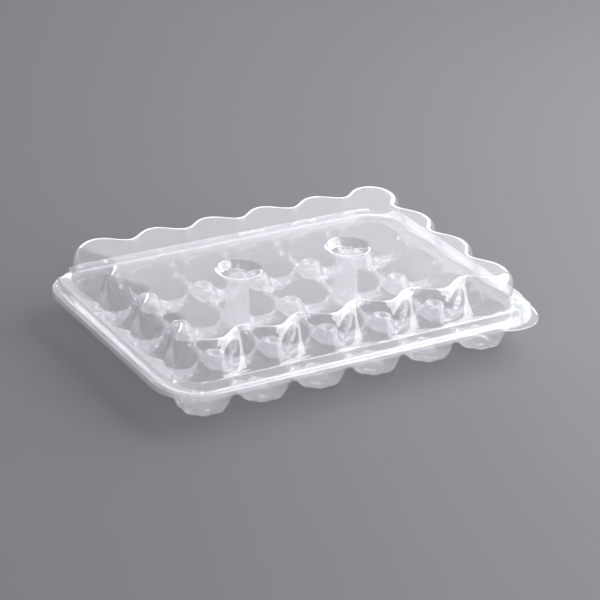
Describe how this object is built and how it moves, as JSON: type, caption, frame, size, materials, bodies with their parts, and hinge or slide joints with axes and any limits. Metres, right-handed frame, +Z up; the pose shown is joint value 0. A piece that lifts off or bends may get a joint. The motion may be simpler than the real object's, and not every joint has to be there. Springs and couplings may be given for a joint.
{
  "type": "egg carton",
  "caption": "Clear hinged clamshell carton that holds hen's eggs upright in a grid of fluted cups under a scalloped snap-down lid",
  "frame": {"origin": "bottom centre of the closed carton's bounding box, on the surface it stands on", "axes": "+X along the long side, +Y towards the hinge side, +Z up"},
  "size_m": [0.32, 0.2344, 0.061],
  "materials": {
    "clear_pet": "gloss"
  },
  "bodies": {
    "tray": {"egg_cup_r1_c1": "clear_pet", "egg_cup_r1_c2": "clear_pet", "egg_cup_r1_c3": "clear_pet", "egg_cup_r1_c4": "clear_pet", "egg_cup_r1_c5": "clear_pet", "egg_cup_r1_c6": "clear_pet", "egg_cup_r2_c1": "clear_pet", "egg_cup_r2_c2": "clear_pet", "egg_cup_r2_c3": "clear_pet", "egg_cup_r2_c4": "clear_pet", "egg_cup_r2_c5": "clear_pet", "egg_cup_r2_c6": "clear_pet", "egg_cup_r3_c1": "clear_pet", "egg_cup_r3_c2": "clear_pet", "egg_cup_r3_c3": "clear_pet", "egg_cup_r3_c4": "clear_pet", "egg_cup_r3_c5": "clear_pet", "egg_cup_r3_c6": "clear_pet", "egg_cup_r4_c1": "clear_pet", "egg_cup_r4_c2": "clear_pet", "egg_cup_r4_c3": "clear_pet", "egg_cup_r4_c4": "clear_pet", "egg_cup_r4_c5": "clear_pet", "egg_cup_r4_c6": "clear_pet", "short_post_r1_c1": "clear_pet", "short_post_r1_c2": "clear_pet", "short_post_r1_c3": "clear_pet", "short_post_r1_c4": "clear_pet", "short_post_r1_c5": "clear_pet", "short_post_r2_c1": "clear_pet", "tall_post_r2_c2": "clear_pet", "short_post_r2_c3": "clear_pet", "tall_post_r2_c4": "clear_pet", "short_post_r2_c5": "clear_pet", "short_post_r3_c1": "clear_pet", "short_post_r3_c2": "clear_pet", "short_post_r3_c3": "clear_pet", "short_post_r3_c4": "clear_pet", "short_post_r3_c5": "clear_pet", "tray_rim_front": "clear_pet", "tray_rim_right": "clear_pet", "tray_rim_back": "clear_pet", "tray_rim_left": "clear_pet", "snap_stud": "clear_pet", "hinge_web": "clear_pet"},
    "lid": {"lid_rim_front": "clear_pet", "lid_rim_right": "clear_pet", "lid_rim_back": "clear_pet", "lid_rim_left": "clear_pet", "lid_wall_front": "clear_pet", "lid_wall_right": "clear_pet", "lid_wall_back": "clear_pet", "lid_wall_left": "clear_pet", "lid_top_panel": "clear_pet", "post_pad_left": "clear_pet", "post_pad_right": "clear_pet", "opening_tab": "clear_pet", "snap_button": "clear_pet"}
  },
  "joints": [
    {"name": "lid_hinge", "type": "hinge", "parent": "tray", "child": "lid", "pos_m": [0, 0.11445, 0.03], "axis": [-1, 0, 0], "range_deg": [0, 165]}
  ]
}
